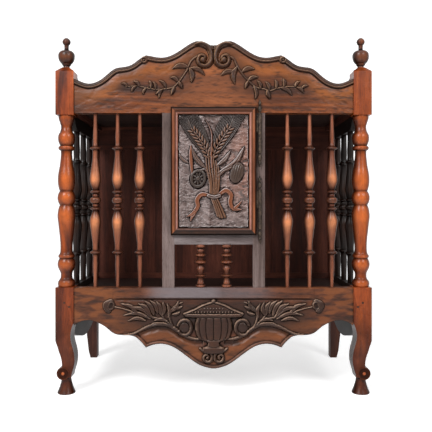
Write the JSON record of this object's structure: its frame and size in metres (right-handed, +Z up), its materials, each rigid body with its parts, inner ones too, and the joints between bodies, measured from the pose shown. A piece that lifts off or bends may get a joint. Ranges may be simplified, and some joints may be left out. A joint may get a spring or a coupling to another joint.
{
  "type": "bread cupboard",
  "caption": "Small bread cupboard with a turned and scalloped walnut frame, open spindles all round, a plank back and one carved door on lift-off hinges.",
  "frame": {"origin": "on the floor, under the middle of the overall width and depth", "axes": "+X towards the right of the viewer in front, +Y from front to back, +Z up"},
  "size_m": [0.8412, 0.4396, 0.955],
  "materials": {
    "polished_walnut": "polished walnut, orange brown, soft waxed shine",
    "carved_walnut": "waxed carved walnut, golden brown",
    "worn_walnut": "worn walnut, greyish brown, nearly matte",
    "dark_wood": "dark old wood, matte",
    "old_iron": "dark worn wrought iron"
  },
  "bodies": {
    "cabinet": {"front_left_post": "polished_walnut", "left_finial": "polished_walnut", "left_door_stile": "worn_walnut", "left_side_top_rail": "polished_walnut", "left_side_bottom_rail": "polished_walnut", "back_left_post": "dark_wood", "left_floor_cleat": "dark_wood", "left_top_cleat": "dark_wood", "left_front_spindle_1": "polished_walnut", "left_side_spindle_1": "polished_walnut", "left_front_spindle_2": "polished_walnut", "left_side_spindle_2": "polished_walnut", "left_front_spindle_3": "polished_walnut", "left_side_spindle_3": "polished_walnut", "front_right_post": "polished_walnut", "right_finial": "polished_walnut", "right_door_stile": "worn_walnut", "right_side_top_rail": "polished_walnut", "right_side_bottom_rail": "polished_walnut", "back_right_post": "dark_wood", "right_floor_cleat": "dark_wood", "right_top_cleat": "dark_wood", "right_front_spindle_1": "polished_walnut", "right_side_spindle_1": "polished_walnut", "right_front_spindle_2": "polished_walnut", "right_side_spindle_2": "polished_walnut", "right_front_spindle_3": "polished_walnut", "right_side_spindle_3": "polished_walnut", "crest_rail": "carved_walnut", "apron_rail": "carved_walnut", "door_sill_rail": "worn_walnut", "sill_spindle_1": "polished_walnut", "sill_spindle_2": "polished_walnut", "back_top_rail": "dark_wood", "back_bottom_rail": "dark_wood", "back_board_1": "dark_wood", "back_board_2": "dark_wood", "back_board_3": "dark_wood", "back_board_4": "dark_wood", "floor_board_1": "dark_wood", "top_board_1": "dark_wood", "floor_board_2": "dark_wood", "top_board_2": "dark_wood", "floor_board_3": "dark_wood", "top_board_3": "dark_wood", "joint_pegs": "dark_wood", "upper_hinge_frame_half": "old_iron", "upper_hinge_pin": "old_iron", "lower_hinge_frame_half": "old_iron", "lower_hinge_pin": "old_iron"},
    "door": {"door_panel": "worn_walnut", "door_bottom_moulding": "carved_walnut", "door_right_moulding": "carved_walnut", "door_top_moulding": "carved_walnut", "door_left_moulding": "carved_walnut", "upper_hinge_door_half": "old_iron", "lower_hinge_door_half": "old_iron"}
  },
  "joints": [
    {"name": "door_hinge", "type": "hinge", "parent": "cabinet", "child": "door", "pos_m": [0.1226, -0.21225, 0.594], "axis": [0, 0, 1], "range_deg": [0, 170]}
  ]
}
